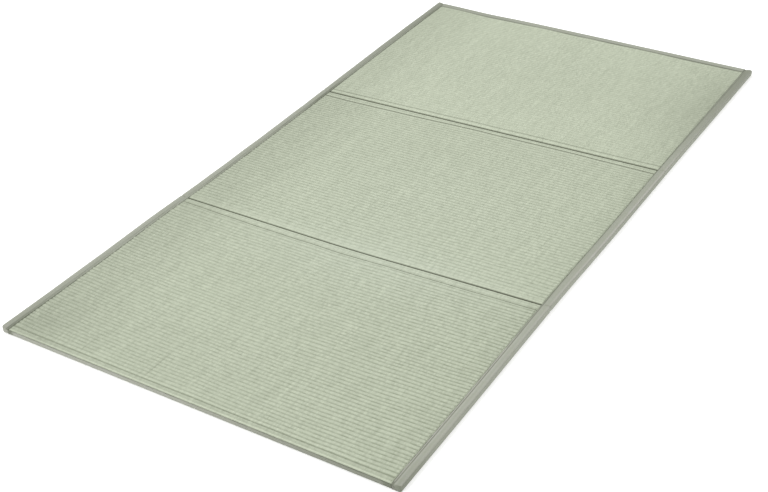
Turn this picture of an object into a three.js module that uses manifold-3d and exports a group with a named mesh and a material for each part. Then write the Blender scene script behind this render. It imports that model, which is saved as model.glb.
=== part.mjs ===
// A folding tatami mat, opened out flat: three ribbed rush panels side by side, with
// cloth tape over both long sides and a cloth strip over each short end.
// Millimetres. X runs across the mat, Y from the near end to the far end, and Z up.
// The origin is on the floor, under the middle of the mat.

import * as THREE from "three";
import { mergeVertices } from "three/addons/utils/BufferGeometryUtils.js";
import Module from "manifold-3d";

const wasm = await Module();
wasm.setup();

// Overall size
const WIDTH = 1000;
const LENGTH = 1900;

// Clearance between neighbouring pieces, and the thickness of the binding cloth
const GAP = 0.3;
const CLOTH = 1.2;

// Heights above the floor
const RUSH_TOP = 12.8;
const RIB_FOOT = 13;
const RIB_RISE = 1.1;
const RIM_TOP = 15;
const STRIP_TOP = 11.4;

// Bindings: how far they reach in over the top and underneath, and their rounded edges
const FLAP = 21;
const RIM_RADIUS = 5;
const FOOT_RADIUS = 3.5;
const STRIP_BEND = 2.5;

// Panel ends: the stitched furrows that run across, and the rounded edges at a fold
const FURROW_DEPTH = 0.9;
const FURROW_HALF = 1.1;
const FOLD_RADIUS = 4.5;
const FOLD_FOOT = 3.2;
const RIB_SIDE_MARGIN = 28;

// Depth of the ribs' foot inside the panel
const RIB_ROOT = 3;

// Steps of the swept pieces, and how far a cut runs past what it cuts
const ACROSS_STEPS = 4;
const ALONG_STEPS = 20;
const PAST = 5;
const ROOM = 30;

const RUSH_COLOUR = "#b5bda8";
const CLOTH_COLOUR = "#a7aa9e";

// Where each fold lies, in millimetres from the near end, at shares of the width
const FOLDS = [
  { share: 0, first: 611, second: 1242.4 },
  { share: 0.25, first: 611.6, second: 1250.1 },
  { share: 0.5, first: 613.3, second: 1258.7 },
  { share: 0.75, first: 622.3, second: 1267.1 },
  { share: 1, first: 631.2, second: 1275.3 },
];

// How far each long side dips in towards the middle, at shares of the length
const SIDE_DIPS = [
  { share: 0, left: 0, right: 0 },
  { share: 0.15, left: 4, right: 1.2 },
  { share: 0.28, left: 5, right: 3.6 },
  { share: 0.36, left: 8.6, right: 4.6 },
  { share: 0.5, left: 9, right: 2.5 },
  { share: 0.62, left: 7.5, right: 2.8 },
  { share: 0.72, left: 4, right: 2.8 },
  { share: 0.84, left: 1.5, right: 1.2 },
  { share: 1, left: 0, right: 0 },
];

// The panels from near to far: how each end is edged, where its furrows lie, where the
// ribs start, how many there are and how far they sag in mid width
const PANELS = [
  {
    name: "rush_panel_near",
    near: { edge: "rolled", furrows: [15.5], ribsFrom: 17 },
    far: { edge: "fold", furrows: [22.5], ribsFrom: 29 },
    ribs: 55,
    sag: 7,
  },
  {
    name: "rush_panel_middle",
    near: { edge: "fold", furrows: [], ribsFrom: 30 },
    far: { edge: "fold", furrows: [18.5], ribsFrom: 32 },
    ribs: 53,
    sag: 0,
  },
  {
    name: "rush_panel_far",
    near: { edge: "fold", furrows: [20], ribsFrom: 24 },
    far: { edge: "lapped", furrows: [], ribsFrom: 24 },
    ribs: 54,
    sag: 0,
  },
];

// The long tape from the rim inwards, down its slope to the flat flap: points of
// (inwards, height) on its top, on its underside and on the rush panel beneath it
const TAPE_SLOPE = [
  { top: [5, 15], under: [5, 13.8], panel: [5, 13.5] },
  { top: [8.5, 14.9], under: [8.5, 13.6], panel: [8.5, 13.3] },
  { top: [12, 13.9], under: [11, 12.6], panel: [10.9, 12.3] },
  { top: [16, 13.3], under: [14, 11.9], panel: [13.9, 11.6] },
];

// The long tape's sewn edge: how far it stands back from the flap's reach and its height
const TAPE_EDGE = [
  { back: 1, height: 13.3 },
  { back: 0.1, height: 12.9 },
  { back: 0, height: 12.4 },
  { back: 0.4, height: 11.9 },
];

// Outline of one rib: share of the pitch and share of the rise
const RIB_SHAPE = [
  { part: 0, rise: 0 },
  { part: 0.22, rise: 0.78 },
  { part: 0.5, rise: 1 },
  { part: 0.78, rise: 0.78 },
];

// The far strip where it laps in over the rush: points of (from the end, height) on its
// top, on its underside and on the rush panel beneath it
const LAP = [
  { top: [0, 12.4], under: [1.2, 11.8], panel: [1.5, 11.5] },
  { top: [0.7, 13.5], under: [1.9, 12.6], panel: [2.2, 12.3] },
  { top: [2.4, 14.1], under: [3, 12.9], panel: [3.1, 12.6] },
  { top: [6, 14], under: [6, 12.8], panel: [6, 12.5] },
  { top: [12, 13.4], under: [12, 12.2], panel: [12, 11.9] },
  { top: [20, 13.3], under: [20, 12.1], panel: [20.3, 11.8] },
];

// Outline of the rolled rush edge: distance from the end and height over the strip's gap
const ROLL_SHAPE = [
  { from: 6.5, rise: 0 },
  { from: 1.5, rise: 0 },
  { from: 0.6, rise: 0.3 },
  { from: 0.2, rise: 0.9 },
  { from: 0.6, rise: 1.4 },
  { from: 1.4, rise: 2 },
  { from: 2.6, rise: 2.2 },
  { from: 4.2, rise: 1.9 },
  { from: 6.5, rise: 0.9 },
];

// Radius of each corner of the mat seen from above, by where its middle lies
const CORNERS = [
  { x: -1, y: -1, radius: 8 },
  { x: 1, y: -1, radius: 2.5 },
  { x: 1, y: 1, radius: 4 },
  { x: -1, y: 1, radius: 4 },
];

// One column of a table at a share, eased from row to row.
function readTable(rows, column, share) {
  const clamped = THREE.MathUtils.clamp(share, 0, 1);
  const next = rows.findIndex((row, i) => i > 0 && row.share >= clamped);
  const low = rows[next - 1];
  const high = rows[next];
  const part = (clamped - low.share) / (high.share - low.share);
  return THREE.MathUtils.lerp(low[column], high[column], THREE.MathUtils.smoothstep(part, 0, 1));
}

// Distance from the near end to seam 0 (the near end), 1 and 2 (the folds) or 3 (the far end).
function seamPlace(seam, share) {
  if (seam === 0) return 0;
  if (seam === 3) return LENGTH;
  return readTable(FOLDS, seam === 1 ? "first" : "second", share);
}

// Length of a panel along the middle of the mat.
function panelLength(index) {
  return seamPlace(index + 1, 0.5) - seamPlace(index, 0.5);
}

// Moves each point of a geometry by a function of its place.
function movePoints(geometry, move) {
  const position = geometry.getAttribute("position");
  const point = new THREE.Vector3();
  for (let i = 0; i < position.count; i += 1) {
    point.fromBufferAttribute(position, i);
    move(point);
    position.setXYZ(i, point.x, point.y, point.z);
  }
  return geometry;
}

// How far a long side dips in at a share of the length, straight between the sweep's steps.
function sideDip(side, share) {
  const place = THREE.MathUtils.clamp(share, 0, 1) * ALONG_STEPS;
  const step = Math.min(Math.floor(place), ALONG_STEPS - 1);
  const before = readTable(SIDE_DIPS, side, step / ALONG_STEPS);
  const after = readTable(SIDE_DIPS, side, (step + 1) / ALONG_STEPS);
  return THREE.MathUtils.lerp(before, after, place - step);
}

// Draws the long sides in: x stays put at the ends of the mat and moves inwards between them.
function dipSides(point) {
  const along = point.y / LENGTH + 0.5;
  const across = point.x / WIDTH + 0.5;
  point.x += sideDip("left", along) * (1 - across) - sideDip("right", along) * across;
}

// Turns a geometry drawn on a straight panel into its place on the mat, between askew folds.
function layPanel(geometry, index) {
  const length = panelLength(index);
  return movePoints(geometry, (point) => {
    const across = THREE.MathUtils.clamp(point.x / WIDTH + 0.5, 0, 1);
    const part = point.y / length;
    const start = seamPlace(index, across);
    const finish = seamPlace(index + 1, across);
    const sag = PANELS[index].sag * 16 * across * (1 - across) * part * (1 - part);
    point.y = start + (finish - start) * part - sag - LENGTH / 2;
    dipSides(point);
  });
}

// Sweeps an outline of (along, height) across the mat from one x to another.
function sweepAcross(shape, fromX, toX) {
  const geometry = new THREE.ExtrudeGeometry(shape, {
    depth: toX - fromX,
    steps: ACROSS_STEPS,
    curveSegments: 2,
    bevelEnabled: false,
  });
  return movePoints(geometry, (point) => point.set(fromX + point.z, point.x, point.y));
}

// Sweeps an outline of (inwards, height) along a long side; side is -1 for left, 1 for right.
function sweepAlong(shape, side) {
  const geometry = new THREE.ExtrudeGeometry(shape, {
    depth: LENGTH,
    steps: ALONG_STEPS,
    curveSegments: 2,
    bevelEnabled: false,
  });
  geometry.rotateX(Math.PI / 2);
  geometry.translate(-WIDTH / 2, LENGTH / 2, 0);
  if (side > 0) geometry.rotateZ(Math.PI);
  return movePoints(geometry, dipSides);
}

// A closed geometry as a solid that can be cut and joined.
function solidFrom(geometry) {
  const bare = geometry.clone();
  bare.deleteAttribute("normal");
  bare.deleteAttribute("uv");
  const merged = mergeVertices(bare, 1e-4);
  const mesh = new wasm.Mesh({
    numProp: 3,
    vertProperties: new Float32Array(merged.getAttribute("position").array),
    triVerts: new Uint32Array(merged.index.array),
  });
  return new wasm.Manifold(mesh);
}

// A solid as a named mesh with a finish of its own.
function meshFrom(solid, name, colour, roughness) {
  const made = solid.getMesh();
  const geometry = new THREE.BufferGeometry();
  geometry.setAttribute("position", new THREE.BufferAttribute(made.vertProperties, 3));
  geometry.setIndex(new THREE.BufferAttribute(made.triVerts, 1));
  geometry.computeVertexNormals();
  const material = new THREE.MeshStandardMaterial({ color: colour, roughness, metalness: 0 });
  const mesh = new THREE.Mesh(geometry, material);
  mesh.name = name;
  return mesh;
}

// A closed outline through points of (first, height).
function outlineOf(points) {
  return new THREE.Shape(points.map(([first, height]) => new THREE.Vector2(first, height)));
}

// The mat's outline from above, drawn in by an inset, as an upright block.
function outlineBlock(inset) {
  const shape = new THREE.Shape();
  for (const corner of CORNERS) {
    const radius = Math.max(corner.radius - inset, 0.5);
    const centreX = corner.x * (WIDTH / 2 - inset - radius);
    const centreY = corner.y * (LENGTH / 2 - inset - radius);
    const middle = Math.atan2(corner.y, corner.x);
    shape.absarc(centreX, centreY, radius, middle - Math.PI / 4, middle + Math.PI / 4, false);
  }
  const block = new THREE.ExtrudeGeometry(shape, {
    depth: 2 * ROOM,
    curveSegments: 3,
    bevelEnabled: false,
  });
  block.translate(0, 0, -ROOM);
  return solidFrom(block);
}

// Outer outline of a long tape, filled to the edge of its under flap.
function tapeOutline() {
  const shape = new THREE.Shape();
  shape.moveTo(FLAP, 0);
  shape.lineTo(FLAP, TAPE_SLOPE.at(-1).top[1]);
  for (const { top } of TAPE_SLOPE.toReversed()) shape.lineTo(...top);
  shape.absarc(RIM_RADIUS, RIM_TOP - RIM_RADIUS, RIM_RADIUS, Math.PI / 2, Math.PI, false);
  shape.absarc(FOOT_RADIUS, FOOT_RADIUS, FOOT_RADIUS, Math.PI, 1.5 * Math.PI, false);
  shape.closePath();
  return shape;
}

// What a long tape leaves open for the panels: its hollow, and the way in past the flap's edge.
function tapeHollow() {
  const rim = RIM_RADIUS - CLOTH;
  const foot = FOOT_RADIUS - CLOTH;
  const shape = new THREE.Shape();
  shape.moveTo(ROOM, CLOTH);
  shape.lineTo(ROOM, ROOM);
  shape.lineTo(FLAP - TAPE_EDGE[0].back, ROOM);
  for (const { back, height } of TAPE_EDGE) shape.lineTo(FLAP - back, height);
  for (const { under } of TAPE_SLOPE.toReversed()) shape.lineTo(...under);
  shape.absarc(RIM_RADIUS, RIM_TOP - RIM_RADIUS, rim, Math.PI / 2, Math.PI, false);
  shape.absarc(FOOT_RADIUS, FOOT_RADIUS, foot, Math.PI, 1.5 * Math.PI, false);
  shape.closePath();
  return shape;
}

// The space beside a panel that a long tape takes up, with the clearance to it.
function tapeRoom() {
  const rim = RIM_RADIUS - CLOTH - GAP;
  const foot = FOOT_RADIUS - CLOTH - GAP;
  const under = CLOTH + GAP;
  const shape = new THREE.Shape();
  shape.moveTo(-ROOM, -ROOM);
  shape.lineTo(FLAP + GAP, -ROOM);
  shape.lineTo(FLAP + GAP, under);
  shape.lineTo(FOOT_RADIUS, under);
  shape.absarc(FOOT_RADIUS, FOOT_RADIUS, foot, 1.5 * Math.PI, Math.PI, true);
  shape.absarc(RIM_RADIUS, RIM_TOP - RIM_RADIUS, rim, Math.PI, Math.PI / 2, true);
  for (const { panel } of TAPE_SLOPE) shape.lineTo(...panel);
  shape.lineTo(FLAP + 1, TAPE_SLOPE.at(-1).panel[1]);
  shape.lineTo(FLAP + 2.5, RUSH_TOP + GAP);
  shape.lineTo(FLAP + 2.5, ROOM);
  shape.lineTo(-ROOM, ROOM);
  shape.closePath();
  return shape;
}

// A stitched furrow across a panel's top, as points of (from the end, height).
function furrowPoints(from) {
  return [
    [from - FURROW_HALF, RUSH_TOP],
    [from, RUSH_TOP - FURROW_DEPTH],
    [from + FURROW_HALF, RUSH_TOP],
  ];
}

// One end of a panel from its underside up and in over the top, as (from the end, height).
function endPoints(end) {
  const under = CLOTH + GAP;
  const bound = [
    [FLAP + GAP, 0],
    [FLAP + GAP, under],
    [STRIP_BEND, under],
    [under + 0.3, under + 0.3],
    [under, STRIP_BEND],
  ];
  const edges = {
    rolled: [...bound, [under, RUSH_TOP - 0.6], [under + 0.6, RUSH_TOP]],
    lapped: [...bound, ...LAP.map((row) => row.panel), [LAP.at(-1).panel[0] + 0.8, RUSH_TOP]],
    fold: [
      [FOLD_FOOT, 0],
      [GAP / 2 + 0.6, 0.9],
      [GAP / 2, FOLD_FOOT],
      [GAP / 2, RUSH_TOP - FOLD_RADIUS],
      [GAP / 2 + 1.2, RUSH_TOP - 1.2],
      [FOLD_RADIUS, RUSH_TOP],
    ],
  };
  return edges[end.edge].concat(...end.furrows.map(furrowPoints));
}

// A panel's outline from the side without its ribs, as (along, height).
function panelOutline(panel, length) {
  const near = endPoints(panel.near);
  const far = endPoints(panel.far).map(([from, height]) => [length - from, height]);
  return outlineOf([...near, ...far.reverse()]);
}

// The ribbed field from the side: rounded ribs in a row, with a foot inside the panel.
function ribOutline(panel, length) {
  const start = panel.near.ribsFrom;
  const pitch = (length - panel.far.ribsFrom - start) / panel.ribs;
  const points = [[start, RUSH_TOP - RIB_ROOT]];
  for (let i = 0; i < panel.ribs; i += 1) {
    for (const { part, rise } of RIB_SHAPE) {
      points.push([start + (i + part) * pitch, RIB_FOOT + rise * RIB_RISE]);
    }
  }
  points.push([start + panel.ribs * pitch, RIB_FOOT]);
  points.push([start + panel.ribs * pitch, RUSH_TOP - RIB_ROOT]);
  return outlineOf(points);
}

// The rush rolled out over the near strip's upper edge.
function rollOutline() {
  return outlineOf(ROLL_SHAPE.map(({ from, rise }) => [from, STRIP_TOP + GAP + rise]));
}

// A strip against a short end, from its edge underneath round the bend: the near one stops
// below the rolled rush, and the far one laps in over the top.
function stripOutline(edge, length) {
  const bend = STRIP_BEND;
  const stop = [
    [CLOTH, STRIP_TOP],
    [0.3, STRIP_TOP],
    [0, STRIP_TOP - 0.3],
  ];
  const lap = [...LAP.map((row) => row.under), ...LAP.toReversed().map((row) => row.top)];
  const points = [
    [FLAP, 0],
    [FLAP, CLOTH],
    [bend, CLOTH],
    [CLOTH + 0.4, CLOTH + 0.4],
    [CLOTH, bend],
    ...(edge === "lapped" ? lap : stop),
    [0, bend],
    [0.7, 0.7],
    [bend, 0],
  ];
  return outlineOf(edge === "lapped" ? points.map(([from, z]) => [length - from, z]) : points);
}

// One rush panel: the flat mat, cut for the bindings, with its ribs and its rolled end.
function makePanel(panel, index, inside, rooms) {
  const length = panelLength(index);
  const side = WIDTH / 2 + PAST;
  const ribSide = WIDTH / 2 - RIB_SIDE_MARGIN;
  const boundSide = WIDTH / 2 - FLAP - GAP;
  const flat = sweepAcross(panelOutline(panel, length), -side, side);
  const ribs = sweepAcross(ribOutline(panel, length), -ribSide, ribSide);
  let solid = solidFrom(layPanel(flat, index)).intersect(inside);
  for (const room of rooms) solid = solid.subtract(room);
  solid = solid.add(solidFrom(layPanel(ribs, index)));
  if (panel.near.edge === "rolled") {
    const roll = sweepAcross(rollOutline(), -boundSide, boundSide);
    solid = solid.add(solidFrom(layPanel(roll, index)));
  }
  return meshFrom(solid, panel.name, RUSH_COLOUR, 0.75);
}

// One long tape: a bar with closed, rounded ends, hollowed out for the panels.
function makeTape(name, side, outside, inside) {
  const bar = solidFrom(sweepAlong(tapeOutline(), side));
  const hollow = solidFrom(sweepAlong(tapeHollow(), side));
  const solid = bar.intersect(outside).subtract(hollow.intersect(inside));
  return meshFrom(solid, name, CLOTH_COLOUR, 0.9);
}

// The cloth strip over a short end of the mat, between the two long tapes.
function makeEndStrip(name, index, edge) {
  const side = WIDTH / 2 - FLAP - GAP;
  const outline = stripOutline(edge, panelLength(index));
  const strip = layPanel(sweepAcross(outline, -side, side), index);
  return meshFrom(solidFrom(strip), name, CLOTH_COLOUR, 0.9);
}

const outside = outlineBlock(0);
const inside = outlineBlock(CLOTH);
const panelRoom = outlineBlock(CLOTH + GAP);
const rooms = [-1, 1].map((side) => solidFrom(sweepAlong(tapeRoom(), side)));

const mat = new THREE.Group();
PANELS.forEach((panel, index) => mat.add(makePanel(panel, index, panelRoom, rooms)));
mat.add(makeTape("binding_left", -1, outside, inside));
mat.add(makeTape("binding_right", 1, outside, inside));
mat.add(makeEndStrip("binding_near", 0, "rolled"));
mat.add(makeEndStrip("binding_far", PANELS.length - 1, "lapped"));

export default mat;
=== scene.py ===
"""A folding tatami mat, opened out flat: ribbed rush panels, cloth tapes, end strips and sewing."""

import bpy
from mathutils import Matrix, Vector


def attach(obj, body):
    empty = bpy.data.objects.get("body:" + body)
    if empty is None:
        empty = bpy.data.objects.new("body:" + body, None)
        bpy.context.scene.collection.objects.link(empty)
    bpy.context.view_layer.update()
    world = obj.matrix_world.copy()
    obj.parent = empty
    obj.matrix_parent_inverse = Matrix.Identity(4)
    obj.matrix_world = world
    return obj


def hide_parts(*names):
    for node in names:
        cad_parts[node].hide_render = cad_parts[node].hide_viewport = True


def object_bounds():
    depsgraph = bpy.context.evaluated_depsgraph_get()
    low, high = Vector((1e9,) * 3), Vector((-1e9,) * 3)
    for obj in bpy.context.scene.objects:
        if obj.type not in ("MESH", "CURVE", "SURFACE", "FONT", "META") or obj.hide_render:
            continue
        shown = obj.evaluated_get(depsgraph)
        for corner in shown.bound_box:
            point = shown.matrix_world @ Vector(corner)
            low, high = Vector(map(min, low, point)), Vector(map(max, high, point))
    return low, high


bl_info = {
    "name": "Folding tatami mat",
    "version": (1, 0, 0),
    "blender": (4, 5, 0),
    "location": "3D View > Sidebar > Tatami mat",
    "description": "Dresses a folding rush mat with ribs, stems, cloth tapes, end strips and stitches",
    "category": "Add Mesh",
}

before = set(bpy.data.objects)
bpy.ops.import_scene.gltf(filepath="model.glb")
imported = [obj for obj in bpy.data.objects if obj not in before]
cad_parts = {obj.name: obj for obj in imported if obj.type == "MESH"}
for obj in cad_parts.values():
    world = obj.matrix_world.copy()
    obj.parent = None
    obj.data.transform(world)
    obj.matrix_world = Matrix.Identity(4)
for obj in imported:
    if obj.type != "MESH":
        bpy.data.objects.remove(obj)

import math
from functools import partial
from types import SimpleNamespace

import bpy
import numpy as np
from bpy.props import FloatProperty, FloatVectorProperty, IntProperty, PointerProperty
from mathutils import Matrix

# Lengths are in millimetres, except where a comment says metres
MM = 0.001
CAD_BOX = [list(corner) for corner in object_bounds()]
WIDTH = round((CAD_BOX[1][0] - CAD_BOX[0][0]) / MM)
LENGTH = round((CAD_BOX[1][1] - CAD_BOX[0][1]) / MM)

# Clearance, cloth thickness and how far the bindings reach in
GAP = 0.3
CLOTH = 1.2
FLAP = 21.0

# How much points that would fall on one another are kept apart, and the height it counts from
LEAN = 0.02
LEAN_TOP = 15.5

# A height that nothing reaches, where no tape lies over the rush
OPEN_ABOVE = 99.0

# The two ends of a panel or of the mat, and which way inwards is from each long side
ENDS = ("near", "far")
INWARD = {"left": 1.0, "right": -1.0}

# Fold lines, from the near end, at shares of the width
FOLD_SHARES = (0.0, 0.25, 0.5, 0.75, 1.0)
FOLD_LINES = ((612.0, 612.3, 613.7, 623.1, 632.5), (1243.4, 1251.1, 1259.7, 1268.1, 1276.3))

# How far the long sides dip in, at shares of the length
DIP_SHARES = (0.0, 0.15, 0.28, 0.36, 0.5, 0.62, 0.72, 0.84, 1.0)
DIPS = {
    "left": (0.0, 4.0, 5.0, 8.6, 9.0, 7.5, 4.0, 1.5, 0.0),
    "right": (0.0, 1.2, 3.6, 4.6, 2.5, 2.8, 2.8, 1.2, 0.0),
}

# The panels from near to far. Each end has its edge, its sewn furrows and how dark they are,
# and where its ribs start. Its lines sway by this much at the fold shares, from
# "sways" (start, full, held to, gone). "ribs" counts the ribs, "relief" is their height,
# "sag" bends them towards the near end and "tone" is how light the rush is.
PANELS = (
    {
        "node": "rush_panel_near",
        "near": {
            "edge": "rolled", "furrows": (15.5,), "dark": 0.5, "ribs_from": 17.0,
            "sway": (3.0, -1.5, -1.9, -2.3, 1.0), "sways": (11.0, 23.0, 60.0, 300.0),
        },
        "far": {
            "edge": "fold", "groove": 1.0, "furrows": (22.5,), "dark": 0.85, "ribs_from": 29.0,
            "sway": (-3.5, 0.5, 1.5, 1.0, 0.5), "sways": (4.0, 19.0, 27.0, 90.0),
        },
        "ribs": 55,
        "tone": 0.98,
        "sag": 7.0,
        "relief": 1.0,
    },
    {
        "node": "rush_panel_middle",
        "near": {
            "edge": "fold", "groove": 1.0, "furrows": (), "dark": 0.0, "ribs_from": 30.0,
            "sway": (-2.0, 0.5, 1.0, 0.5, -6.0), "sways": (8.0, 24.0, 30.0, 120.0),
        },
        "far": {
            "edge": "fold", "groove": 1.5, "furrows": (18.5,), "dark": 1.2, "ribs_from": 32.0,
            "sway": (6.3, 6.3, 1.3, 1.0, 4.8), "sways": (4.0, 15.0, 24.0, 90.0),
        },
        "ribs": 53,
        "tone": 1.0,
        "sag": 0.0,
        "relief": 0.95,
    },
    {
        "node": "rush_panel_far",
        "near": {
            "edge": "fold", "groove": 1.5, "furrows": (20.0,), "dark": 0.9, "ribs_from": 24.0,
            "sway": (-5.5, -3.0, -2.2, -2.7, -1.4), "sways": (4.0, 16.0, 26.0, 90.0),
        },
        "far": {
            "edge": "lapped", "furrows": (), "dark": 0.0, "ribs_from": 24.0,
            "sway": (0.0, 0.0, 0.0, 0.0, 0.0), "sways": (4.0, 16.0, 26.0, 90.0),
        },
        "ribs": 54,
        "tone": 1.04,
        "sag": 0.0,
        "relief": 0.5,
    },
)

# Splits between rush stems: from the left, from and to along the mat, and how open
SPLITS = (
    {"across": 61.0, "from": 26.0, "to": 95.0, "open": 0.3},
    {"across": 103.0, "from": 28.0, "to": 70.0, "open": 0.2},
    {"across": 147.0, "from": 30.0, "to": 62.0, "open": 0.2},
    {"across": 207.5, "from": 19.0, "to": 80.0, "open": 0.28},
    {"across": 318.0, "from": 24.0, "to": 65.0, "open": 0.2},
    {"across": 379.5, "from": 23.0, "to": 130.0, "open": 0.32},
    {"across": 575.0, "from": 18.0, "to": 60.0, "open": 0.2},
)
SPLIT_HALF = 1.3

# Broad patches of painted shade on the rush, then broad places where it is bleached: middle and
# half width, across and along the mat, and by how much
DARK_PATCHES = (
    {"across": 40.0, "along": 40.0, "half": (150.0, 110.0), "amount": 0.3},
    {"across": 1000.0, "along": 1650.0, "half": (170.0, 330.0), "amount": 0.75},
    {"across": 560.0, "along": 1640.0, "half": (330.0, 230.0), "amount": 0.2},
    {"across": 260.0, "along": 90.0, "half": (330.0, 130.0), "amount": 0.18},
)
BLEACHED = (
    {"across": 600.0, "along": 600.0, "half": (300.0, 110.0), "amount": 0.22},
    {"across": 520.0, "along": 900.0, "half": (420.0, 230.0), "amount": 0.08},
)

# How much darker each tape is along the mat: (along the mat, shade)
TAPE_DARKENING = {
    "left": ((0, 0.32), (70, 0.24), (220, 0.06), (1000, 0.02), (1200, 0.1), (1500, 0.3), (1800, 0.46)),
    "right": ((0, 0.3), (110, 0.1), (260, 0.0), (1250, 0.02), (1500, 0.32), (1800, 0.64)),
}

# How dark the right tape's outer side is: (along the mat, shade)
OUTSIDE_SHADE = ((0, 0.8), (60, 0.65), (120, 0.38), (400, 0.2), (800, 0.1), (1150, 0.28), (1350, 0.1))

# The far end lies lower here: middle from the left, half width and drop
FAR_DROP = {"across": 175.0, "half": 85.0, "drop": 2.2}

# The lower part of a bound end, from its underside round: (from the end, height)
BOUND_FOOT = (
    (21.3, 0.0), (21.3, 1.5), (12.0, 1.5), (2.5, 1.5), (1.8, 1.8), (1.5, 2.5), (1.5, 7.0),
)

# From there to the top of the rolled rush
ROLLED_EDGE = BOUND_FOOT + (
    (1.5, 11.4), (1.2, 11.7), (0.8, 11.85), (0.45, 12.2), (0.35, 12.7), (0.5, 13.2), (0.95, 13.6),
    (1.7, 13.85), (2.6, 13.9), (3.6, 13.8), (4.7, 13.55), (5.8, 13.3),
)

# From there to the top under the far lap
LAPPED_EDGE = BOUND_FOOT + (
    (1.5, 11.2), (2.2, 12.1), (3.1, 12.4), (6.0, 12.2), (9.0, 11.9), (12.0, 11.6), (16.0, 11.5),
    (20.3, 11.4), (20.7, 11.8), (21.2, 12.5), (22.0, 13.0),
)

# A fold's edge from its underside up and over the rounded edge of the slit
FOLD_EDGE = (
    (7.0, 0.0), (3.4, 0.0), (2.0, 0.15), (1.0, 0.7), (0.4, 1.7), (0.18, 3.2), (0.18, 5.2),
    (0.25, 7.0), (0.5, 8.5), (0.95, 9.9), (1.6, 11.2), (2.4, 12.2), (3.4, 12.95), (4.6, 13.4),
    (6.0, 13.55), (7.6, 13.5), (9.4, 13.35),
)

EDGES = {"rolled": ROLLED_EDGE, "lapped": LAPPED_EDGE, "fold": FOLD_EDGE}

# How far from each kind of end the ribs begin to show through its flat part
TRACE_FROM = {"rolled": 6.0, "lapped": 21.5, "fold": 7.0}

# Where a panel tucks in under the long tapes: (inwards from the side, highest point)
TUCK = (
    (0.0, 13.2), (8.6, 13.0), (10.8, 11.9), (13.8, 11.3), (21.4, 11.2), (21.8, 11.5), (22.3, 12.2),
    (22.9, 12.9), (23.8, 13.8), (25.0, 15.0),
)

# Shares of a rib's pitch at which it has a row of points
RIB_ROWS = (0.0, 0.06, 0.16, 0.32, 0.5, 0.68, 0.84, 0.94)

# Heights of the rush: the flat part of an end, beside its first rib, and between ribs
FLAT_TOP = 13.3
FIRST_RIB_TOP = 13.0
RIB_FLOOR = 12.95

# Rows of points on the flat part of an end: their step, and those across a sewn furrow
ROW_STEP = 1.3
FURROW_ROWS = (-1.6, -0.9, -0.4, 0.0, 0.4, 0.9, 1.6)
FURROW_CLEAR = 1.9
FURROW_DEPTH = 1.3

# Rows of points on a panel's underside, and how far in from its ends they begin
BOTTOM_ROWS = 12
BOTTOM_INSET = 30

# Columns of points beside a panel's long sides, inwards
PANEL_MARGIN = (
    4.0, 6.0, 8.6, 10.8, 13.8, 18.0, 21.2, 21.4, 21.8, 22.2, 22.7, 23.2, 23.8, 24.8, 26.0, 26.6,
    27.0, 27.4, 27.8, 28.3, 29.0, 30.2, 32.0, 35.0, 40.0,
)

# Even columns between them, how near they may come to a split, and the split's own columns
MIDDLE_FROM = 48.0
MIDDLE_COLUMNS = 82
SPLIT_CLEAR = 2.5
SPLIT_COLUMNS = (-1.7, -0.6, 0.6, 1.7)

# How unequal the ribs are, and where they come out from under the tapes, and how unevenly
RIB_SPREAD = 0.06
RIB_START = 22.9
RIB_START_SPREAD = 0.5

# Columns of an end strip, and places along a tape: near its end, and its even ones
STRIP_COLUMNS = 240
TAPE_STARTS = (0.0, 0.1, 0.35, 0.8, 1.2, 1.24, 1.8, 2.6, 3.6, 4.8, 6.2, 7.8, 9.6)
TAPE_EVEN_FROM = 12.0
TAPE_STATIONS = 836

# Soft unevenness, each made of several waves: size, seed, shortest and longest wave. The
# size of the tape's pucker is how far its waves run out of step, and not a length.
WAVE_COUNT = 9
WAVES = {
    "rush_top": (0.42, 11, 110, 420),
    "rush_lines": (0.55, 31, 70, 300),
    "rush_pinch": (1.0, 131, 9, 40),
    "tape_top": (0.28, 0, 60, 340),
    "tape_slope": (0.75, 1, 40, 260),
    "tape_edge": (0.3, 2, 18, 130),
    "tape_wall": (0.3, 3, 90, 300),
    "tape_pucker": (2.2, 4, 90, 400),
    "strip_wall": (0.22, 97, 50, 260),
    "strip_top": (0.12, 101, 60, 300),
}
TAPE_SEEDS = {"left": 71, "right": 83}
RIB_END_SEED = 51
CLOTH_SEED = 5
CROSS_THREAD_SEED = 31.0

# The long tape's section, (inwards, height): its outside from the edge underneath up and
# over, then its inside back again
TAPE_OUTSIDE = (
    (21.0, 0.0), (14.0, 0.0), (8.0, 0.0), (3.6, 0.0), (2.1, 0.3), (1.0, 1.0), (0.3, 2.1), (0.0, 3.6),
    (0.0, 5.5), (-0.1, 7.5), (-0.1, 9.6), (0.0, 11.5), (0.3, 12.9), (1.0, 14.0), (2.1, 14.75),
    (3.6, 15.0), (5.8, 15.0), (7.8, 14.8), (9.6, 14.5), (11.2, 14.2), (12.6, 14.0), (13.6, 13.9),
    (14.4, 13.5), (15.2, 12.9), (16.2, 12.5), (17.4, 12.4), (18.5, 12.2), (19.2, 12.35),
    (20.0, 12.4), (20.6, 12.25), (20.95, 12.0), (20.9, 11.7), (20.6, 11.55),
)
TAPE_INSIDE = (
    (20.3, 11.5), (17.0, 11.55), (14.6, 11.7), (12.2, 12.6), (9.0, 13.4), (5.2, 13.7),
    (3.3, 13.4), (1.9, 12.3), (1.25, 10.4), (1.2, 7.0), (1.2, 3.6), (1.9, 1.9), (3.6, 1.2),
    (12.0, 1.2), (21.0, 1.2),
)

# A long tape's flat size, in metres
TAPE_FLAT = (0.056, LENGTH * MM)

# How dark the left tape is towards its gutter: (inwards, shade)
GUTTER_SHADE = ((0.0, 0.1), (7.0, 0.0), (12.6, 0.0), (15.0, 0.3), (16.5, 0.42), (20.0, 0.55), (21.0, 0.68))

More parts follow.
